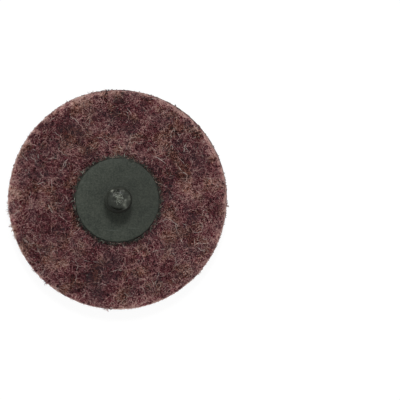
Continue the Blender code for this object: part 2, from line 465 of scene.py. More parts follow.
def web_mass():
    """A closed skin, dented by lattice heights: a grid over the back, rings down the cut wall at even steps
    between the two rims, and a grid under the face."""
    unit_x, unit_y, rim = disc_grid(CORE_GRID)
    angle = np.arctan2(unit_y, unit_x)
    back_r = web_radius(angle, BACK_LEVEL) - CORE_INSET
    x, y = unit_x * back_r, unit_y * back_r
    back_z = back_level(x, y) - CORE_DEPTH + CORE_DENTS * rough(x, y, BACK_DENT_SPACING, 2, 31)
    back = np.stack([x, y, back_z], -1)
    face_r = web_radius(angle, 0.0) - CORE_INSET
    x, y = unit_x * face_r, unit_y * face_r
    face_z = face_level(x, y) + CORE_DEPTH + CORE_DENTS * rough(x, y, FACE_DENT_SPACING, 2, 41)
    face = np.stack([x, y, face_z], -1)
    down = np.linspace(0, 1, WALL_RINGS + 1)[1:-1, None]
    turn = angle[rim][None, :]
    z = back_z[rim] * (1 - down) + face_z[rim] * down
    dents = WALL_DENTS * rough(turn * FACE_RADIUS + 0 * z, z, WALL_DENT_SPACING, 2, 51)
    r = web_radius(turn, z) - WALL_INSET + dents * np.sin(math.pi * down)
    wall = np.stack([r * np.cos(turn), r * np.sin(turn), z], -1)
    places = np.concatenate([back, wall.reshape(-1, 3), face])
    count, ring = CORE_GRID**2, len(rim)
    face_start = count + (WALL_RINGS - 1) * ring
    middle = [count + k * ring + np.arange(ring) for k in range(WALL_RINGS - 1)]
    up_quads = grid_quads(CORE_GRID)
    down_quads = up_quads[:, ::-1]
    quads = np.concatenate([up_quads, down_quads + face_start, *band_quads([rim, *middle, face_start + rim])])

    # In the UV square: back and face side by side below, and the wall in four strips above
    flat = np.stack([unit_x, unit_y], -1) * 0.24
    at = np.arange(ring)
    side = ring // 4
    strip, along = at // side, at % side
    step = np.stack([along, along, along + 1, along + 1], -1) / side
    wall_map = []
    for k in range(WALL_RINGS):
        high = np.array([k, k + 1, k + 1, k]) / WALL_RINGS
        wall_map.append(np.stack([0.01 + step * 0.98, 0.61 + strip[:, None] * 0.12 - high * 0.1], -1))
    corner_map = np.concatenate([flat[up_quads] + 0.25, flat[down_quads] + (0.75, 0.25), *wall_map])
    return make_piece("web_mass", places, quads, np.empty((0, 3), int), corner_map, web_mass_material())


web_mass()


# Loose fibres of the back
# Crimped nylon staple, a tenth of a millimetre thick, matted by the needles and dyed by the maroon resin.
# Some stayed pale. They dive in and out of the mass of the web, and the die cut them off at the rim.

PATH_STEPS = 60
STRAND_POINTS = 9
STRAND_SIDES = 3
LOW_STRANDS = 2700
MIDDLE_STRANDS = 3400
TOP_STRANDS = 3900
HAIRS = 300
BACK_INNER = FLANGE_RADIUS + 0.15 * MM
FLASH_INNER = FLANGE_RADIUS - 0.05 * MM
FLASH_ACROSS = 0.5 * MM
FLASH_HEIGHT = 0.7 * MM
FLASH_MIDDLE = button_low.z + FLASH_HEIGHT / 2
BACK_BEND = 260.0  # how much a fibre turns, in radians a metre
BACK_CRIMP = 0.9  # how far its crimp swings it to each side, in radians at most
BACK_LEAST = 8  # steps of its path that the cut has to leave

# Spans in millimetres, from which each fibre draws its own value
CRIMP_WAVE = (0.9, 2.4)
BACK_SPARE = (-0.02, 0.22)  # how far a fibre may reach past the cut
BACK_WAVE = (0.02, 0.1)
BACK_TUCK = (0.05, 0.25)
FLASH_LIFT = (0.0, 0.1)


def drawn(rng, span, count):
    """A column of lengths, one for each fibre, drawn evenly from a span in millimetres."""
    return rng.uniform(*span, (count, 1)) * MM


def scatter(rng, count, inner, outer):
    """Points spread evenly by area between two radii."""
    r = np.sqrt(rng.uniform(inner**2, outer**2, count))
    angle = rng.uniform(0, math.tau, count)
    return r * np.cos(angle), r * np.sin(angle)


def walk(heading, step):
    """How far a path has come from its start, as x and y: the running sum of a step along each heading."""
    return np.cumsum(np.cos(heading) * step, axis=1), np.cumsum(np.sin(heading) * step, axis=1)


def curl(rng, heading, length, bend, points):
    """How far a short path has come from its start at each of its points, as x and y. Its heading turns
    steadily along it, by a random bend in radians a metre."""
    s = np.linspace(0, 1, points) * length
    return walk(heading + rng.normal(0, bend, length.shape) * s, length / (points - 1))


def ends(points, power):
    """0 at the middle of a fibre and 1 at its two ends: the distance from its middle, to a power."""
    return np.abs(np.linspace(-1, 1, points)) ** power


def strand_plan(rng, count, inner, outer, lengths, bend, crimp):
    """Plan of each fibre, as x and y at equal steps. It starts anywhere in the ring between two radii, and
    its heading is a steady turn plus a sine crimp."""
    x, y = scatter(rng, count, inner, outer)
    length = drawn(rng, lengths, count)
    s = np.linspace(0, 1, PATH_STEPS) * length
    turn = rng.normal(0, bend, (count, 1))
    swing = rng.uniform(0.2, 1.0, (count, 1)) * crimp
    wave = drawn(rng, CRIMP_WAVE, count)
    phase = rng.uniform(0, math.tau, (count, 1))
    heading = rng.uniform(0, math.tau, (count, 1)) + turn * s + swing * np.sin(math.tau * s / wave + phase)
    right, up = walk(heading, length / (PATH_STEPS - 1))
    return x[:, None] + right, y[:, None] + up


def cut_off(x, y, kept, points, least):
    """Each path as far as it is kept, sampled again at equal steps. Paths with too few steps are left out."""
    lost = ~kept
    stop = np.where(lost.any(axis=1), lost.argmax(axis=1) - 1, x.shape[1] - 1)
    long_enough = stop >= least
    x, y, stop = x[long_enough], y[long_enough], stop[long_enough]
    at = np.linspace(0, 1, points) * stop[:, None]
    low = np.minimum(at.astype(int), x.shape[1] - 2)
    share = at - low

    def sample(line):
        """Values between the two nearest steps, in proportion."""
        return np.take_along_axis(line, low, 1) * (1 - share) + np.take_along_axis(line, low + 1, 1) * share

    return sample(x), sample(y)


def own_cells(shape_map, count):
    """The UV map of one shape, repeated for each of a number of them in a cell of its own. The cells lie in
    rows that fill the square."""
    cells = math.ceil(math.sqrt(count))
    cell = np.stack([np.arange(count) % cells, np.arange(count) // cells], -1)
    return ((shape_map.reshape(1, -1, 2) + cell[:, None]) / cells).reshape(-1, 2)


def tubes(x, y, z, radius):
    """Closed three-sided tubes along paths: at each point a ring square to the path, of its own radius.
    Returns points, quads, end triangles and each corner's place in the tube's own UV cell."""
    count, points = x.shape
    path = np.stack([x, y, z], -1)
    ahead = np.gradient(path, axis=1)
    ahead /= np.linalg.norm(ahead, axis=-1, keepdims=True)
    across = np.stack([-ahead[..., 1], ahead[..., 0], np.zeros_like(x)], -1)
    across /= np.maximum(np.linalg.norm(across, axis=-1, keepdims=True), 1e-9)
    above = np.cross(ahead, across)
    turn = np.arange(STRAND_SIDES) * math.tau / STRAND_SIDES + math.pi / 2
    ring = np.cos(turn)[:, None] * across[..., None, :] + np.sin(turn)[:, None] * above[..., None, :]
    places = path[..., None, :] + ring * radius[..., None, None]
    index = np.arange(count * points * STRAND_SIDES).reshape(count, points, STRAND_SIDES)
    beside = np.roll(index, -1, axis=2)
    quads = np.stack([index[:, :-1], beside[:, :-1], beside[:, 1:], index[:, 1:]], -1)
    tris = np.stack([index[:, 0, ::-1], index[:, -1]], 1)
    i, k = np.meshgrid(np.arange(points - 1), np.arange(STRAND_SIDES), indexing="ij")
    along = 0.12 + 0.76 * np.stack([i, i, i + 1, i + 1], -1) / (points - 1)
    around = np.stack([k, k + 1, k + 1, k], -1) / STRAND_SIDES * 0.9 + 0.05
    end_map = np.array([[[0.01, 0.1], [0.09, 0.5], [0.01, 0.9]], [[0.99, 0.1], [0.91, 0.5], [0.99, 0.9]]])
    corner_map = np.concatenate([own_cells(np.stack([along, around], -1), count), own_cells(end_map, count)])
    return places.reshape(-1, 3), quads.reshape(-1, 4), tris.reshape(-1, 3), corner_map


def set_points(made, label, values):
    """Gives each point of a piece its own value, which a material reads by its label."""
    attribute = made.data.attributes.new(label, "FLOAT", "POINT")
    attribute.data.foreach_set("value", values.astype(np.float32))


def point_value(tree, label):
    """The value that a piece's points carry under a label."""
    return add(tree, "ShaderNodeAttribute", attribute_name=label).outputs["Fac"]


def strand_piece(name, x, y, z, radius, tint, finish, slot="needled_web", node="abrasive_pad"):
    """Fibres as one piece, each with its own tint in the attribute named strand."""
    made = make_piece(name, *tubes(x, y, z, radius), finish, slot, node)
    set_points(made, "strand", np.repeat(tint, x.shape[1] * STRAND_SIDES))
    return made


def strand_material(name, look, roughness, specular):
    """Fibres: the web's colour at their place, with each one's own tint."""
    made, tree, shader = new_material(name, roughness, specular)
    tree.links.new(look_colour(tree, look, point_value(tree, "strand")), shader.inputs["Base Color"])
    return made


def flash_top(x, y):
    """Top of the flash round the button, which the seat's fibres lie over: half an ellipse across it, and
    the ground beyond it."""
    across = np.clip((np.hypot(x, y) - FLASH_INNER) / FLASH_ACROSS, 0, 1)
    return np.where(across < 1, FLASH_MIDDLE + FLASH_HEIGHT / 2 * np.sqrt(1 - across**2), 0.0)


def back_strands(name, seed, count, finish, depths, lengths, thickness, hump, over, tints,
                 bend=BACK_BEND, crimp=BACK_CRIMP):
    """Fibres on the back between the button and the cut. Each lies at its own depth under the top,
    rises in a slow wave and perhaps one hump, and tucks its ends in. A share lies over the flash."""
    rng = np.random.default_rng(seed)
    x, y = strand_plan(rng, count, BACK_INNER, BACK_RADIUS, lengths, bend, crimp)
    r, angle = np.hypot(x, y), np.arctan2(y, x)
    spare = drawn(rng, BACK_SPARE, count)
    kept = (r > BACK_INNER) & (r < web_radius(angle, BACK_LEVEL) + spare)
    x, y = cut_off(x, y, kept, STRAND_POINTS, BACK_LEAST)
    count = len(x)
    share = np.linspace(0, 1, STRAND_POINTS)
    depth = drawn(rng, depths, count)
    wave = drawn(rng, BACK_WAVE, count)
    phase = rng.uniform(0, math.tau, (count, 1))
    rise = rng.exponential(hump, (count, 1)) * MM * np.sin(math.pi * share) ** 2
    tuck = drawn(rng, BACK_TUCK, count) * ends(STRAND_POINTS, 6)
    z = back_level(x, y) - depth + wave * np.sin(phase + share * 9.0) + rise - tuck
    on_top = rng.uniform(size=(count, 1)) < over
    z = np.where(on_top, np.maximum(z, flash_top(x, y) + drawn(rng, FLASH_LIFT, count)), z)
    radius = drawn(rng, thickness, count) / 2 * (1 - 0.45 * ends(STRAND_POINTS, 8))
    return strand_piece(name, x, y, z, radius, rng.choice(tints, count), finish)


felt_strands = strand_material("felt_fibre", felt_look, 0.62, 0.3)
deep_tints = np.linspace(-0.1, 0.5, 40)
middle_tints = np.concatenate([np.linspace(0.1, 0.75, 40), np.linspace(0.75, 1.0, 3)])
pale_tints = np.concatenate([np.linspace(0.2, 0.8, 40), np.linspace(0.8, 1.3, 7)])
back_strands("back_fibres_low", 101, LOW_STRANDS, felt_strands, depths=(0.16, 0.4), lengths=(1.6, 3.6),
             thickness=(0.11, 0.18), hump=0.02, over=0.0, tints=deep_tints)
back_strands("back_fibres_middle", 102, MIDDLE_STRANDS, felt_strands, depths=(0.06, 0.26),
             lengths=(1.6, 3.6), thickness=(0.07, 0.12), hump=0.03, over=0.3, tints=middle_tints)
back_strands("back_fibres_top", 103, TOP_STRANDS, felt_strands, depths=(-0.02, 0.16), lengths=(1.2, 3.6),
             thickness=(0.045, 0.09), hump=0.06, over=0.6, tints=pale_tints)


HAIR_COLOURS = (
    (0.0, srgb(98, 56, 56)),
    (0.45, srgb(146, 108, 102)),
    (1.0, srgb(250, 236, 226)),
)
HAIR_PATCH = 0.9 * MM


def hair_material():
    """Undyed nylon, grey to nearly white, which fades and shows along its length."""
    made, tree, shader = new_material("undyed_fibre", 0.6, 0.2)
    along = noise(tree, own_place(tree), HAIR_PATCH, 2.0)
    level = level_of(tree, 0.42, [(along, 3.0), (point_value(tree, "strand"), 0.9)])
    tree.links.new(ramp(tree, level, HAIR_COLOURS), shader.inputs["Base Color"])
    return made


back_strands("back_hairs", 104, HAIRS, hair_material(), depths=(-0.12, 0.02), lengths=(0.9, 4.2),
             thickness=(0.05, 0.1), hump=0.06, over=0.8, tints=np.linspace(0.1, 1.0, 12),
             bend=300.0, crimp=0.6)

RIM_TUFTS = 16
TUFT_ENDS = 9
CURL_POINTS = 5
TUFT_INSET = 0.18 * MM
TUFT_BEND = 1400.0

# Spans in millimetres
TUFT_LENGTH = (0.5, 1.0)
TUFT_LEVEL = (3.6, 5.1)
TUFT_THICKNESS = (0.09, 0.15)


def rim_tufts():
    """Ends of fibre that the die left in small tufts round the rim: each starts just inside the cut and
    curls out past it."""
    rng = np.random.default_rng(105)
    count = RIM_TUFTS * TUFT_ENDS
    middle = rng.uniform(0, math.tau, RIM_TUFTS)
    around = np.repeat(middle, TUFT_ENDS)[:, None] + rng.normal(0, 0.012, (count, 1))
    reach = np.repeat(rng.uniform(0.45, 1.0, RIM_TUFTS), TUFT_ENDS)[:, None]
    length = reach * drawn(rng, TUFT_LENGTH, count)
    right, up = curl(rng, around + rng.normal(0, 0.9, (count, 1)), length, TUFT_BEND, CURL_POINTS)
    z = drawn(rng, TUFT_LEVEL, count)
    r = web_radius(around, z) - TUFT_INSET
    z = z + rng.normal(0, 0.25, (count, 1)) * length * np.linspace(0, 1, CURL_POINTS)
    radius = drawn(rng, TUFT_THICKNESS, count) / 2 * np.linspace(1.0, 0.7, CURL_POINTS)
    return strand_piece("rim_tufts", r * np.cos(around) + right, r * np.sin(around) + up, z, radius,
                        rng.uniform(-0.2, 0.5, count), felt_strands)


rim_tufts()


# Loose fibres of the abrasive face
# The same nylon staple, on the side that does the work. Only short curls of it show, each thick with the
# brown resin that holds the grit.

FACE_STRANDS = 4600
FACE_BEND = 900.0
FACE_CRIMP = 0.8
FACE_LEAST = 12
FACE_LUMPS = 0.25  # how far resin thickens or thins a curl, as a share of its radius

# Spans in millimetres
FACE_LENGTH = (0.7, 1.7)
FACE_SPARE = (-0.05, 0.12)
FACE_THICKNESS = (0.16, 0.3)
FACE_WAVE = (0.0, 0.08)
FACE_TUCK = (0.05, 0.2)


def face_strands(name, seed, finish, depths, tints):
    """Coated curls under the face, each at its own depth above the ground that it lies on, with a slow wave
    and its ends tucked in."""
    rng = np.random.default_rng(seed)
    x, y = strand_plan(rng, FACE_STRANDS, 0.0, FACE_RADIUS, FACE_LENGTH, FACE_BEND, FACE_CRIMP)
    spare = drawn(rng, FACE_SPARE, FACE_STRANDS)
    kept = np.hypot(x, y) < web_radius(np.arctan2(y, x), 0.0) + spare
    x, y = cut_off(x, y, kept, CURL_POINTS, FACE_LEAST)
    count = len(x)
    radius = drawn(rng, FACE_THICKNESS, count) / 2 * (1 - 0.5 * ends(CURL_POINTS, 6))
    lumps = 1 + FACE_LUMPS * rng.uniform(-1, 1, (count, CURL_POINTS))
    depth = drawn(rng, depths, count)
    swell = drawn(rng, FACE_WAVE, count)
    phase = rng.uniform(0, math.tau, (count, 1))
    wave = swell * np.abs(np.sin(phase + np.linspace(0, 7, CURL_POINTS)))
    tuck = drawn(rng, FACE_TUCK, count) * ends(CURL_POINTS, 4)
    z = face_level(x, y) + radius * (1 + FACE_LUMPS) + depth + wave + tuck
    return strand_piece(name, x, y, z, radius * lumps, rng.choice(tints, count), finish)


resin_strands = strand_material("resin_fibre", resin_look, 0.65, 0.2)
face_strands("face_fibres_low", 201, resin_strands, (0.12, 0.3), np.linspace(0.0, 0.5, 20))
face_strands("face_fibres_top", 202, resin_strands, (0.0, 0.14), np.linspace(0.3, 0.85, 20))


# Fibres on the cut wall
# The die leaves short lengths and ends of fibre lying round the wall. They are maroon above, and brown with
# resin below.

WALL_STRANDS = 2000
WALL_POINTS = 6
WALL_LOW = 0.3 * MM
WALL_HIGH = 5.3 * MM
WALL_TUCK = 0.12 * MM
WALL_BEND = 500.0

# Spans in millimetres
WALL_LENGTH = (0.5, 2.2)
WALL_SUNK = (0.0, 0.16)
WALL_THICKNESS = (0.07, 0.13)


def wall_material():
    """Cut fibres: resin's colour low on the wall and felt's above it, by place."""
    made, tree, shader = new_material("cut_fibre", 0.7, 0.3)
    colour = web_colour(tree, own_place(tree), point_value(tree, "strand"))
    tree.links.new(colour, shader.inputs["Base Color"])
    return made


def wall_strands():
    """Short curls over the cut wall: a plan in distance round the wall and height, laid on its radius. Their
    ends sink in, and at the round rim they are drawn in by part of a circle."""
    rng = np.random.default_rng(301)
    count = WALL_STRANDS
    length = drawn(rng, WALL_LENGTH, count)
    sideways, up = curl(rng, rng.normal(0, 0.6, (count, 1)), length, WALL_BEND, WALL_POINTS)
    around = rng.uniform(0, math.tau, (count, 1)) + sideways / FACE_RADIUS
    z = WALL_LOW + (WALL_HIGH - WALL_LOW) * rng.uniform(0, 1, (count, 1)) ** 0.62 + up
    z = np.clip(z, 0.25 * MM, BACK_LEVEL - 0.3 * MM)
    sunk = drawn(rng, WALL_SUNK, count) + WALL_TUCK * ends(WALL_POINTS, 4)
    past = np.clip(z - BACK_LEVEL + BACK_EDGE, 0, BACK_EDGE) / MM
    r = web_radius(around, z) - sunk - BACK_EDGE / 2 * (1 - np.sqrt(1 - past**2))
    radius = drawn(rng, WALL_THICKNESS, count) / 2 * np.ones(WALL_POINTS)
    return strand_piece("wall_fibres", r * np.cos(around), r * np.sin(around), z, radius,
                        rng.choice(np.linspace(0.1, 1.0, 20), count), wall_material())


wall_strands()


# Grit
# Crystals of aluminium oxide, which go on with the resin and set in it. Most are on the abrasive face, and a
# few have strayed to the back.

FACE_GRIT = 3800
BACK_GRIT = 800
BACK_GRIT_INNER = BACK_INNER + 0.6 * MM
GRIT_CORNERS = np.array([[1, 0, 0], [0, 1, 0], [-1, 0, 0], [0, -1, 0], [0, 0, 1], [0, 0, -1]], float)
GRIT_DARK = srgb(82, 62, 50)
GRIT_PALE_GLINT = srgb(226, 212, 198)

# Spans in millimetres
GRIT_SIZE = (0.05, 0.1)  # from a crystal's middle to a corner
FACE_GRIT_UP = (0.11, 0.2)  # above the lowest fibres
BACK_GRIT_DOWN = (-0.04, 0.06)  # under the highest ones


def grit_material():
    """Brown to clear crystals, each with its own tint, with a hard gloss. The palest are painted glints."""
    made, tree, shader = new_material("oxide_grit", 0.22, 0.6)
    colour = blend(tree, spread(tree, point_value(tree, "strand"), 0.0, 1.0), GRIT_DARK, GRIT_PALE_GLINT)
    tree.links.new(colour, shader.inputs["Base Color"])
    return made


def grit(name, seed, x, y, z, finish, palest):
    """A crystal at each point: eight faces between six corners, stretched and turned at random."""
    rng = np.random.default_rng(seed)
    count = len(x)
    size = rng.uniform(*GRIT_SIZE, (count, 1, 1)) * MM * rng.uniform(0.7, 1.3, (count, 1, 3))
    turned = np.linalg.qr(rng.normal(size=(count, 3, 3)))[0]
    turned[:, :, 0] *= np.sign(np.linalg.det(turned))[:, None]
    places = np.einsum("nij,nkj->nki", turned, GRIT_CORNERS * size) + np.stack([x, y, z], -1)[:, None]
    around = np.arange(4)
    after = np.roll(around, -1)
    faces = np.concatenate([np.stack([around, after, 0 * around + 4], -1),
                            np.stack([after, around, 0 * around + 5], -1)])
    tris = (faces[None] + 6 * np.arange(count)[:, None, None]).reshape(-1, 3)
    corner = np.array([[0.02, 0.02], [0.22, 0.02], [0.12, 0.46]])
    upper = corner + np.stack([around * 0.25, 0 * around], -1)[:, None]
    corner_map = own_cells(np.concatenate([upper, upper + (0.0, 0.5)]), count)
    made = make_piece(name, places.reshape(-1, 3), np.empty((0, 4), int), tris, corner_map, finish)
    # The palest tints are painted glints
    set_points(made, "strand", np.repeat(rng.uniform(0, palest, count) ** 2, len(GRIT_CORNERS)))
    made.data.shade_flat()
    return made


oxide = grit_material()
grit_rng = np.random.default_rng(401)
grit_x, grit_y = scatter(grit_rng, FACE_GRIT, 0.0, FACE_RADIUS - FACE_EDGE)
grit_z = face_level(grit_x, grit_y) + grit_rng.uniform(*FACE_GRIT_UP, FACE_GRIT) * MM
grit("face_grit", 402, grit_x, grit_y, grit_z, oxide, 1.0)
grit_x, grit_y = scatter(grit_rng, BACK_GRIT, BACK_GRIT_INNER, BACK_RADIUS - BACK_EDGE)
grit_z = back_level(grit_x, grit_y) - grit_rng.uniform(*BACK_GRIT_DOWN, BACK_GRIT) * MM
grit("back_grit", 403, grit_x, grit_y, grit_z, oxide, 1.6)


# The button
# Glass-filled green nylon, moulded in one shot: a flange and a stub post with a coarse thread of two starts.
# Spun against the back, the rim of the flange melted and ran out as a ragged ring of flash.

FLANGE_TOP = button_low.z + 1.2 * MM
FLANGE_EDGE = 0.12 * MM
EDGE_WAVER = 0.07 * MM
UNDER_RADIUS = 0.4 * MM  # of the innermost ring under the flange
FLASH_STEP = 0.02 * MM  # the flash starts this far outside the flange
FLASH_WIDTH = 0.34 * MM
FLASH_CURL = 0.09 * MM
FLASH_SAG = FLASH_HEIGHT * 0.22
NICK_SIDE = math.radians(71)  # where the edge of the flange is nicked
NICK_DEPTH = 0.45 * MM
NICK_WIDTH = 0.55 * MM
TIP_LEVEL = FLANGE_TOP + 6.6 * MM
TIP_RADIUS = 2.5 * MM
TIP_CHAMFER = 1.7 * MM
THREAD_RADIUS = 3.15 * MM
THREAD_DEPTH = 0.75 * MM
THREAD_LEAD = 5.0 * MM
THREAD_STARTS = 2
THREAD_TURN = math.radians(100)
THREAD_GROOVE = 0.16  # the flat of a groove, and each flank, as shares of half a pitch
THREAD_FLANK = 0.5
THREAD_RUN_OUT = 0.7 * MM
ROOT_RADIUS = THREAD_RADIUS - THREAD_DEPTH
POST_FILLET = THREAD_DEPTH + 0.1 * MM
THREAD_FOOT = FLANGE_TOP + POST_FILLET + 0.2 * MM
CONE_BLEND = 0.12 * MM
TIP_GRID = 91
BUTTON_RINGS = {"cone": 12, "thread": 40, "fillet": 7, "top": 4, "edge": 4, "flash": 12, "under": 2}


def thread_ridge(angle, z):
    """1 on a crest and 0 in a groove: crests climb one lead in a turn, and the flanks are S-curves."""
    turn = (angle - THREAD_TURN) / math.tau
    phase = (z - TIP_LEVEL) / (THREAD_LEAD / THREAD_STARTS) - THREAD_STARTS * turn + 0.5
    return ease((np.abs(2 * (phase % 1.0) - 1) - THREAD_GROOVE) / THREAD_FLANK)


def post_radius(angle, z):
    """The root plus the ridge of the thread, which runs in above the fillet, or the lead-in cone where that
    is less. The two meet in a soft least: -b log(e^(-p/b) + e^(-q/b)), with b the length of the blend."""
    post = ROOT_RADIUS + THREAD_DEPTH * ease((z - THREAD_FOOT) / THREAD_RUN_OUT) * thread_ridge(angle, z)
    cone = TIP_RADIUS + (TIP_LEVEL - z) * (THREAD_RADIUS - TIP_RADIUS) / TIP_CHAMFER
    return -CONE_BLEND * np.log(np.exp(-post / CONE_BLEND) + np.exp(-cone / CONE_BLEND))


SCAR_SLANT = math.radians(32.6)
SCAR_HEIGHT = 0.16 * MM
SCAR_WIDTH = 0.62 * MM
SCAR_HALF_LENGTH = 2.2 * MM
SCAR_FADE = 0.7 * MM  # over which it fades at each end
SCAR_WAVER = 0.14 * MM
SCAR_WAVER_SPACING = 0.7 * MM
SCAR_PATCH = 0.5 * MM
FIBRIL_SPACING = 0.3 * MM
CLEFT_DEPTH = 0.35 * MM
CLEFT_LENGTH = 1.7 * MM
CLEFT_WIDTH = 0.3 * MM
CLEFT_TURN = math.radians(4)  # how far round each cleft lies from the middle of its groove
CLEFT_SHARES = (1.0, 0.55)
TIP_SHOULDER = 0.3 * MM
TIP_LUMPS = 0.1 * MM
TIP_LUMP_SPACING = 0.9 * MM
LOBE_HEIGHT = 0.12 * MM
LOBE_FADE = 1.2 * MM  # how far down the post a lobe at the rim goes
HOLLOW_DEPTH = 0.2 * MM

# Lobes are raised and painted white as a highlight; hollows are dented and painted dark as shade
# Each lobe and hollow: millimetres to the right of the tip's middle, millimetres up, reach, and strength
TIP_LOBES = (
    (-1.74, 2.22, 0.33, 2.3), (0.5, 2.35, 0.33, 0.25), (1.05, 2.2, 0.34, 0.28), (2.3, 0.75, 0.3, 0.3),
    (2.36, 0.1, 0.3, 0.3), (1.5, -0.2, 0.4, 0.3), (1.2, -1.15, 0.4, 0.5), (1.5, -1.7, 0.3, 0.3),
    (-1.2, -1.0, 0.3, 0.12), (-0.5, -1.25, 0.25, 0.12),
)
TIP_HOLLOWS = (
    (-0.9, -0.85, 0.5, 0.3), (-1.75, -1.7, 0.35, 0.7), (-1.15, -2.1, 0.35, 1.2), (-0.4, -2.3, 0.38, 1.3),
    (0.4, -2.35, 0.38, 0.8), (-1.15, 1.68, 0.2, 1.0), (-0.7, -0.05, 0.25, 0.7),
)


def scar(x, y):
    """Torn gate across the tip, from 0 to 1: a bell over a slanting line, cut up into fibrils that run
    along it, and ending short of the rim. A fibril lies where stretched lattice heights pass zero."""
    across = x * math.sin(SCAR_SLANT) + y * math.cos(SCAR_SLANT)
    along = x * math.cos(SCAR_SLANT) - y * math.sin(SCAR_SLANT)
    across = across + SCAR_WAVER * rough(along, across, SCAR_WAVER_SPACING, 2, 61)
    width = np.maximum(SCAR_WIDTH * (1 + 0.14 * along / MM), 0.1 * MM)
    body = np.exp(-((across / width) ** 4)) * ease((SCAR_HALF_LENGTH - np.abs(along)) / SCAR_FADE)
    fibrils = 1 - np.abs(rough(along / 3, across, FIBRIL_SPACING, 2, 71)) * 3.4
    strength = 0.6 + 0.5 * lattice(along, across, SCAR_PATCH, 73)
    return body, body * np.clip(fibrils, 0, 1) * np.clip(strength, 0, 1)


def bells(x, y, spots):
    """Sum of bells, each at its place in millimetres, with its reach and its strength."""
    return sum(strength * np.exp(-((x / MM - right) ** 2 + (y / MM - up) ** 2) / reach**2)
               for right, up, reach, strength in spots)


def cleft(x, y):
    """Where the threads' grooves cut into the tip, from 0 to 1: troughs from the rim towards the middle, each
    a bell across and an S-curve along."""
    cut = 0 * x
    for start, share in enumerate(CLEFT_SHARES):
        turn = THREAD_TURN + CLEFT_TURN + start * math.tau / THREAD_STARTS
        along = (TIP_RADIUS - (x * math.cos(turn) + y * math.sin(turn))) / CLEFT_LENGTH
        across = -x * math.sin(turn) + y * math.cos(turn)
        wide = CLEFT_WIDTH * (1.6 - ease(along))
        cut = cut + share * np.exp(-((across / wide) ** 2)) * ease(1 - along)
    return np.clip(cut, 0, 1)


NYLON_DARK = srgb(41, 46, 40)
NYLON_PALE = srgb(66, 70, 62)
NYLON_BURNT_AND_SHADE = srgb(19, 19, 15)
NYLON_SCRATCHED = srgb(92, 100, 92)
NYLON_SHADED = srgb(34, 36, 31)
NYLON_WORN = srgb(24, 27, 20)
NYLON_TORN_AND_HIGHLIGHT = srgb(196, 200, 184)
NYLON_PATCH = 2.5 * MM
NYLON_GRAIN = 0.3 * MM
SCRATCH_PATCH = 4.0 * MM
SCRATCH_STRETCH = (1, 14, 1)
SCRATCH_SLANT = (0, 0, 0.9)
FLOW_SPACING = 1 / 24  # as a share of the distance from the middle of the abrasive face
SHADE_START = -2.0 * MM  # along X, from where the nylon gets darker
WORN_START = TIP_LEVEL - 1.2 * MM
WORN_FULL = TIP_LEVEL - 0.5 * MM
NYLON_RELIEF = 0.02 * MM


def nylon_material():
    """Dark grey-green nylon with fine grain, a few scratches and faint flow marks that run out from the
    post, with painted shade that darkens it towards +X. It is darker still in the flash and with painted
    shade on and round the post and in the tip's hollows and clefts, whitened at the scar, with a painted
    highlight on the tip's lobes, and glossy at the tip, where holders have worn it."""
    made, tree, shader = new_material("green_nylon", 0.5, 0.15)
    place = own_place(tree)
    burnt_and_shade = point_value(tree, "burnt_and_shade")
    grain = noise(tree, place, NYLON_GRAIN, 2.0)
    outwards = add(tree, "ShaderNodeVectorMath", {0: place}, operation="NORMALIZE").outputs["Vector"]
    flow = noise(tree, outwards, FLOW_SPACING, 3.0)
    level = level_of(tree, 0.5, [(noise(tree, place, NYLON_PATCH, 3.0), 1.2), (grain, 2.2), (flow, 0.9)])
    body = blend(tree, level, NYLON_DARK, NYLON_PALE)
    # Dark where melted in the flash, with painted shade on and round the post and in the tip's hollows and
    # clefts
    body = blend(tree, burnt_and_shade, body, NYLON_BURNT_AND_SHADE)
    stretched = add(
        tree, "ShaderNodeMapping", {"Vector": place, "Rotation": SCRATCH_SLANT, "Scale": SCRATCH_STRETCH},
    ).outputs[0]
    scratched = patches(tree, stretched, SCRATCH_PATCH, 1.0, 0.68, 0.76, 0.0, 0.3)
    body = blend(tree, scratched, body, NYLON_SCRATCHED)
    # Painted shade, darker towards +X
    shaded = spread(tree, coordinate(tree, place, "X"), SHADE_START, FLANGE_RADIUS, 0.0, 0.36)
    body = blend(tree, shaded, body, NYLON_SHADED)
    worn = spread(tree, coordinate(tree, place, "Z"), WORN_START, WORN_FULL, 0.0, 0.3)
    body = blend(tree, worn, body, NYLON_WORN)
    # Whitened where torn, and a painted highlight on the tip's lobes
    body = blend(tree, point_value(tree, "torn"), body, NYLON_TORN_AND_HIGHLIGHT)
    tree.links.new(body, shader.inputs["Base Color"])
    undarkened = spread(tree, burnt_and_shade, 0.4, 0.9, 0.6, 0.0)
    tree.links.new(work_out(tree, "MULTIPLY", worn, undarkened), shader.inputs["Coat Weight"])
    shader.inputs["Coat Roughness"].default_value = 0.2
    add_bump(tree, shader, grain, 0.3, NYLON_RELIEF)
    return made


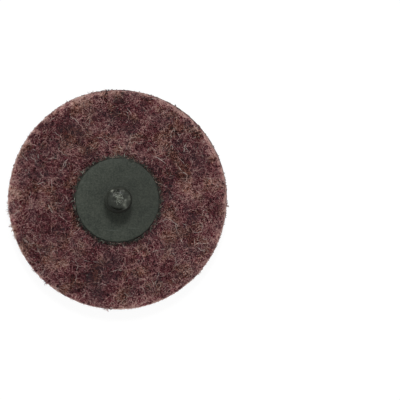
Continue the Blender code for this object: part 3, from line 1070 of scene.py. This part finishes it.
def button_rings(angle):
    """Rings down the outside of the button, from the tip's rim to its underside, each as radius and
    height all round. Corners are quarter circles, and the flash is a bead that swells and shrinks."""
    n = BUTTON_RINGS
    right, up = np.cos(angle), np.sin(angle)
    rings = []
    for z in np.linspace(TIP_LEVEL, TIP_LEVEL - TIP_CHAMFER, n["cone"] + 1)[1:]:
        rings.append((post_radius(angle, z), z))
    for z in np.linspace(TIP_LEVEL - TIP_CHAMFER, FLANGE_TOP + POST_FILLET, n["thread"] + 1)[1:]:
        rings.append((post_radius(angle, z), z))
    for turn in np.linspace(0, math.pi / 2, n["fillet"] + 1)[1:]:
        rings.append((ROOT_RADIUS + POST_FILLET * (1 - math.cos(turn)),
                      FLANGE_TOP + POST_FILLET * (1 - math.sin(turn))))
    start = ROOT_RADIUS + POST_FILLET
    nick = NICK_DEPTH * np.exp(-((angle - NICK_SIDE) * FLANGE_RADIUS / NICK_WIDTH) ** 4)
    edge = FLANGE_RADIUS - nick + EDGE_WAVER * rough(right * 12, up * 12, 1.0, 3, 87)
    for share in np.linspace(0, 1, n["top"] + 1)[1:]:
        rings.append((start + (edge - FLANGE_EDGE - start) * share, FLANGE_TOP))
    for turn in np.linspace(0, math.pi / 2, n["edge"] + 1)[1:]:
        rings.append((edge - FLANGE_EDGE * (1 - math.sin(turn)),
                      FLANGE_TOP - FLANGE_EDGE * (1 - math.cos(turn))))
    width = FLASH_WIDTH * (0.8 + 0.7 * np.clip(rough(right * 17, up * 17, 1.0, 3, 81), -0.9, 0.9))
    sag = FLASH_SAG * rough(right * 23, up * 23, 1.0, 2, 83)
    for turn in np.linspace(math.pi / 2, -math.pi / 2, n["flash"] + 1):
        ruffle = FLASH_CURL * rough(right * 30 + turn, up * 30, 1.0, 2, 91)
        rings.append((FLANGE_RADIUS + FLASH_STEP + (width + ruffle) * math.cos(turn),
                      FLASH_MIDDLE + FLASH_HEIGHT / 2 * math.sin(turn) + sag * math.cos(turn)))
    for r in np.linspace(FLANGE_RADIUS, UNDER_RADIUS, n["under"] + 1)[1:]:
        rings.append((r, button_low.z))
    return np.array([np.broadcast_arrays(r, z, angle)[:2] for r, z in rings])


def tip_level(x, y):
    """Height of the tip's end: flat with a round shoulder, plus the scar, lumps and lobes, less the clefts
    and hollows."""
    body, torn = scar(x, y)
    out = np.clip(np.hypot(x, y) / TIP_RADIUS, 0, 1)
    level = TIP_LEVEL + SCAR_HEIGHT * (0.3 * body + 0.8 * torn)
    level = level - TIP_SHOULDER * np.clip((out - 0.55) / 0.45, 0, 1) ** 2
    level = level + TIP_LUMPS * rough(x, y, TIP_LUMP_SPACING, 3, 95) * (1 - out**4)
    level = level - CLEFT_DEPTH * cleft(x, y)
    level = level + LOBE_HEIGHT * bells(x, y, TIP_LOBES) - HOLLOW_DEPTH * bells(x, y, TIP_HOLLOWS)
    return np.minimum(level, button_high.z)


BURN_PATCH = 0.4 * MM
POST_FADE = 0.4 * MM  # how far from its ends the post is dark in full
POST_SHADE_RADIUS = 5.0 * MM  # the flange's painted shade reaches here, and fades out over the next length
POST_SHADE_FADE = 3.0 * MM


def darkened(x, y, z):
    """How dark the outside is, from 0 to 1. The melted flash is darkest, with lattice lumps. The post has
    painted shade in its grooves and on its side away from the lamp, fading at its ends, and the flange a
    little painted shade near it."""
    away = np.hypot(x, y)
    flash = (away > FLANGE_RADIUS - FLASH_STEP) * (0.6 + 0.4 * rough(x, y, BURN_PATCH, 2, 97))
    # Painted shade in the thread's grooves and on the post's side away from the lamp
    groove = 1 - thread_ridge(np.arctan2(y, x), z)
    shaded_side = 0.45 + 0.28 * (0.6 * x - 0.8 * y) / np.maximum(away, 0.1 * MM)
    on_post = ease((z - FLANGE_TOP) / POST_FADE) * (away < THREAD_RADIUS + POST_FILLET)
    post = on_post * (shaded_side + 0.35 * groove) * ease((TIP_LEVEL - z) / POST_FADE)
    # and a little painted shade on the flange round the post
    return flash + post + 0.1 * ease((POST_SHADE_RADIUS - away) / POST_SHADE_FADE + 1)


def button():
    """The tip is a round grid, and the rest is rings of points with bands between them. The lobes at the
    tip's rim bulge over its edge and fade out below it."""
    unit_x, unit_y, rim = disc_grid(TIP_GRID)
    spin = np.arctan2(unit_y, unit_x)
    tip_r = post_radius(spin, TIP_LEVEL)
    x, y = unit_x * tip_r, unit_y * tip_r
    tip = np.stack([x, y, tip_level(x, y)], -1)
    angle = spin[rim]
    rings = button_rings(angle)
    r, z = rings[:, 0], rings[:, 1]
    outside_x, outside_y = r * np.cos(angle), r * np.sin(angle)
    outside_lobes = bells(outside_x, outside_y, TIP_LOBES) * ease((z - TIP_LEVEL) / LOBE_FADE + 1)
    outside = np.stack([outside_x, outside_y, z + LOBE_HEIGHT * outside_lobes], -1)
    end = np.array([[0.0, 0.0, button_low.z]])
    places = np.concatenate([tip, outside.reshape(-1, 3), end])
    count, ring = TIP_GRID**2, len(rim)
    chain = [rim] + [count + k * ring + np.arange(ring) for k in range(len(rings))]
    quads = np.concatenate([grid_quads(TIP_GRID), *band_quads(chain)])
    last, centre = chain[-1], np.full(ring, len(places) - 1)
    tris = np.stack([last, centre, np.roll(last, -1)], -1)

    # In the UV square: the tip in the middle, and each ring outside the one before it
    lengths = np.hypot(np.diff(r.mean(1)), np.diff(z.mean(1)))
    reach = TIP_RADIUS + 0.2 * MM + np.concatenate([[0], np.cumsum(np.maximum(lengths, 0.02 * MM))])
    scale = 0.49 / reach[-1]
    rim_way = np.stack([np.cos(angle), np.sin(angle)], -1)
    map_points = np.concatenate([
        np.stack([unit_x, unit_y], -1) * TIP_RADIUS * scale,
        (reach[:, None, None] * scale * rim_way).reshape(-1, 2),
    ]) + 0.5
    tri_map = np.stack([rim_way * 0.03, rim_way * 0.005, np.roll(rim_way, -1, axis=0) * 0.03], 1) + 0.04
    corner_map = np.concatenate([map_points[quads].reshape(-1, 2), tri_map.reshape(-1, 2)])
    made = make_piece("nylon_button", places, quads, tris, corner_map, nylon_material(),
                      "green_nylon", "twist_button")

    # Torn nylon is white, raised lobes get a painted highlight, and hollows and clefts painted shade
    hollows = bells(x, y, TIP_HOLLOWS)
    torn = 0.2 * scar(x, y)[1] + 0.38 * bells(x, y, TIP_LOBES) - 0.5 * hollows
    torn = np.concatenate([torn, 0.4 * outside_lobes.ravel(), [0.0]])
    burnt_and_shade = darkened(*places.T)
    # The tip is dark, with painted shade in its clefts and hollows
    burnt_and_shade[:count] = np.clip(0.45 + 0.25 * cleft(x, y) + 0.7 * hollows, 0, 1)
    set_points(made, "torn", np.clip(torn, 0, 1))
    set_points(made, "burnt_and_shade", burnt_and_shade)
    return made


button()


# Melted threads
# Nylon that was drawn out while it was soft: curls round the flash, where it was spun on, and fine whitened
# ones along the scar, where the gate was torn off.

FRAYS = 440
FIBRILS = 100
FRAY_POINTS = 5
FRAY_BEND = 900.0
FRAY_SLOPE = 0.35
FIBRIL_BEND = 1100.0
FRAY_COLOURS = (
    (0.0, srgb(28, 28, 23)),
    (0.66, srgb(60, 62, 54)),
    (0.82, srgb(100, 102, 90)),
    (1.0, srgb(186, 192, 178)),
)

# Spans in millimetres
FRAY_LENGTH = (0.3, 1.1)
FRAY_START = (0.06, 0.36)  # outside the flange
FRAY_THICKNESS = (0.05, 0.12)
FIBRIL_THICKNESS = (0.018, 0.034)


def fray_material():
    """Dark melted nylon, with some threads of it drawn out pale."""
    made, tree, shader = new_material("melted_nylon", 0.4, 0.3)
    tree.links.new(ramp(tree, point_value(tree, "strand"), FRAY_COLOURS), shader.inputs["Base Color"])
    return made


def frays(finish):
    """Short curls that start on the flash, run round it to either side, and lie lower further out."""
    rng = np.random.default_rng(501)
    length = drawn(rng, FRAY_LENGTH, FRAYS)
    start = rng.uniform(0, math.tau, (FRAYS, 1))
    side = np.where(rng.uniform(size=(FRAYS, 1)) < 0.5, 1.0, -1.0)
    heading = start + side * rng.uniform(0.25, 1.5, (FRAYS, 1))
    right, up = curl(rng, heading, length, FRAY_BEND, FRAY_POINTS)
    r = FLANGE_RADIUS + drawn(rng, FRAY_START, FRAYS)
    x, y = r * np.cos(start) + right, r * np.sin(start) + up
    out = np.hypot(x, y) - FLANGE_RADIUS
    z = button_low.z + FLASH_HEIGHT * rng.uniform(0.25, 1.0, (FRAYS, 1)) - out * FRAY_SLOPE
    thick = drawn(rng, FRAY_THICKNESS, FRAYS) * np.linspace(1.0, 0.45, FRAY_POINTS)
    return strand_piece("nylon_frays", x, y, z, thick, rng.uniform(0, 1, FRAYS), finish,
                        "green_nylon", "twist_button")


def fibrils(finish):
    """Short curls that lie on the tip, across and mostly above the scar's line, with thin ends."""
    rng = np.random.default_rng(503)
    along = np.clip(rng.normal(-0.7, 0.75, (FIBRILS, 1)), -2.1, 1.4) * MM
    share = along / (1.9 * MM)
    across = (0.15 - 0.35 * share + np.clip(rng.normal(0, 0.36, (FIBRILS, 1)), -0.6, 0.6)) * MM
    heading = -SCAR_SLANT + rng.normal(0, 0.55, (FIBRILS, 1))
    length = drawn(rng, FRAY_LENGTH, FIBRILS)
    right, up = curl(rng, heading, length, FIBRIL_BEND, FRAY_POINTS)
    x = along * math.cos(SCAR_SLANT) + across * math.sin(SCAR_SLANT) + right
    y = across * math.cos(SCAR_SLANT) - along * math.sin(SCAR_SLANT) + up
    inside = (np.hypot(x, y) < TIP_RADIUS).all(axis=1)
    x, y = x[inside], y[inside]
    count = len(x)
    thick = drawn(rng, FIBRIL_THICKNESS, count) * np.where(ends(FRAY_POINTS, 1) < 1, 1.0, 0.5)
    tint = rng.uniform(0.7, 1.0, count) - 0.06 * (share[inside, 0] > 0.2)
    return strand_piece("gate_fibrils", x, y, tip_level(x, y) + thick * 0.5, thick, tint, finish,
                        "green_nylon", "twist_button")


melted = fray_material()
frays(melted)
fibrils(melted)


# Floor, light and camera
# A white table under a soft lamp at the head of the picture. The camera looks down, a little from the left.

FLOOR_SIZE = 3.0
FLOOR_LEVEL = -0.05 * MM
FLOOR_COLOUR = (0.82, 0.82, 0.82, 1)
FLOOR_SHADE = (0.11, 0.11, 0.11, 1)  # what is left of the lit colour, which carries the shadow
FLOOR_GLOW = 0.925
FRAME_PARTS = 400  # the picture's width in parts, in which the disc's width and place are given next
DISC_PARTS = 219.5
DISC_RIGHT = -83.6  # of the picture's middle
DISC_UP = -0.29
FRAME_WIDTH = 2 * FACE_RADIUS * FRAME_PARTS / DISC_PARTS
VIEW_LEAN = (0.06, 0.012)  # how far the camera stands to the left and below, as shares of its height
CAMERA_HEIGHT = 1.2
LAMP_PLACE = Vector((-0.05, 0.54, 1.0))
LAMP_SIZE = 0.24
LAMP_WATTS = 6.7
SKY_LIGHT = 0.5


def seen_straight(tree):
    """1 for a ray from the camera, or one bounced by gloss or passed through glass, and 0 for others."""
    path = add(tree, "ShaderNodeLightPath").outputs
    either = work_out(tree, "MAXIMUM", path["Is Camera Ray"], path["Is Glossy Ray"])
    return work_out(tree, "MAXIMUM", either, path["Is Transmission Ray"])


def floor():
    """A square sheet, white where it is seen straight, with the object's shadow kept faint."""
    half = FLOOR_SIZE / 2
    corners = [(x, y, FLOOR_LEVEL) for x, y in ((-half, -half), (half, -half), (half, half), (-half, half))]
    mesh = bpy.data.meshes.new("floor")
    mesh.from_pydata(corners, [], [(0, 1, 2, 3)])
    made, tree, shader = new_material("white_table", 1.0, 0.0)
    tree.nodes.remove(shader)
    plain = add(tree, "ShaderNodeBsdfDiffuse", {"Color": FLOOR_COLOUR}).outputs[0]
    shaded = add(tree, "ShaderNodeBsdfDiffuse", {"Color": FLOOR_SHADE}).outputs[0]
    white = add(tree, "ShaderNodeEmission", {"Color": (1, 1, 1, 1), "Strength": FLOOR_GLOW}).outputs[0]
    both = add(tree, "ShaderNodeAddShader", {0: shaded, 1: white}).outputs[0]
    mixed = add(tree, "ShaderNodeMixShader", {0: seen_straight(tree), 1: plain, 2: both}).outputs[0]
    tree.links.new(mixed, tree.nodes["Material Output"].inputs["Surface"])
    mesh.materials.append(made)
    sheet = bpy.data.objects.new("floor", mesh)
    bpy.context.collection.objects.link(sheet)


def sky():
    """Even light from all round, which is plain white where it is seen straight."""
    world = bpy.data.worlds.new("studio")
    world.use_nodes = True
    tree = world.node_tree
    background = tree.nodes["Background"]
    background.inputs["Color"].default_value = (1, 1, 1, 1)
    strength = spread(tree, seen_straight(tree), 0.0, 1.0, SKY_LIGHT, 1.0)
    tree.links.new(strength, background.inputs["Strength"])
    bpy.context.scene.world = world


def aimed(place, target):
    """Placement whose -Z looks from a place to a target, with its X as near the world's X as can be."""
    back = (place - target).normalized()
    right = Vector((1, 0, 0))
    right = (right - back * right.dot(back)).normalized()
    turn = Matrix((right, back.cross(right), back)).transposed()
    return Matrix.Translation(place) @ turn.to_4x4()


def lamp():
    """A square lamp that looks at the middle of the disc."""
    data = bpy.data.lights.new("key", "AREA")
    data.size = LAMP_SIZE
    data.energy = LAMP_WATTS
    key = bpy.data.objects.new("key", data)
    key.matrix_world = aimed(LAMP_PLACE, Vector((0, 0, 0)))
    bpy.context.collection.objects.link(key)


def camera():
    """A long lens, whose frame is as wide as the photograph's at the disc."""
    data = bpy.data.cameras.new("camera")
    made = bpy.data.objects.new("camera", data)
    part = FRAME_WIDTH / FRAME_PARTS
    target = Vector((-DISC_RIGHT * part, -DISC_UP * part, BACK_LEVEL / 2))
    place = Vector((-VIEW_LEAN[0], -VIEW_LEAN[1], 1.0)) * CAMERA_HEIGHT
    made.matrix_world = aimed(place, target)
    data.lens = data.sensor_width * (place - target).length / FRAME_WIDTH
    data.clip_end = 10
    bpy.context.collection.objects.link(made)
    bpy.context.scene.camera = made


floor()
sky()
lamp()
camera()
bpy.context.scene.view_settings.view_transform = "Standard"
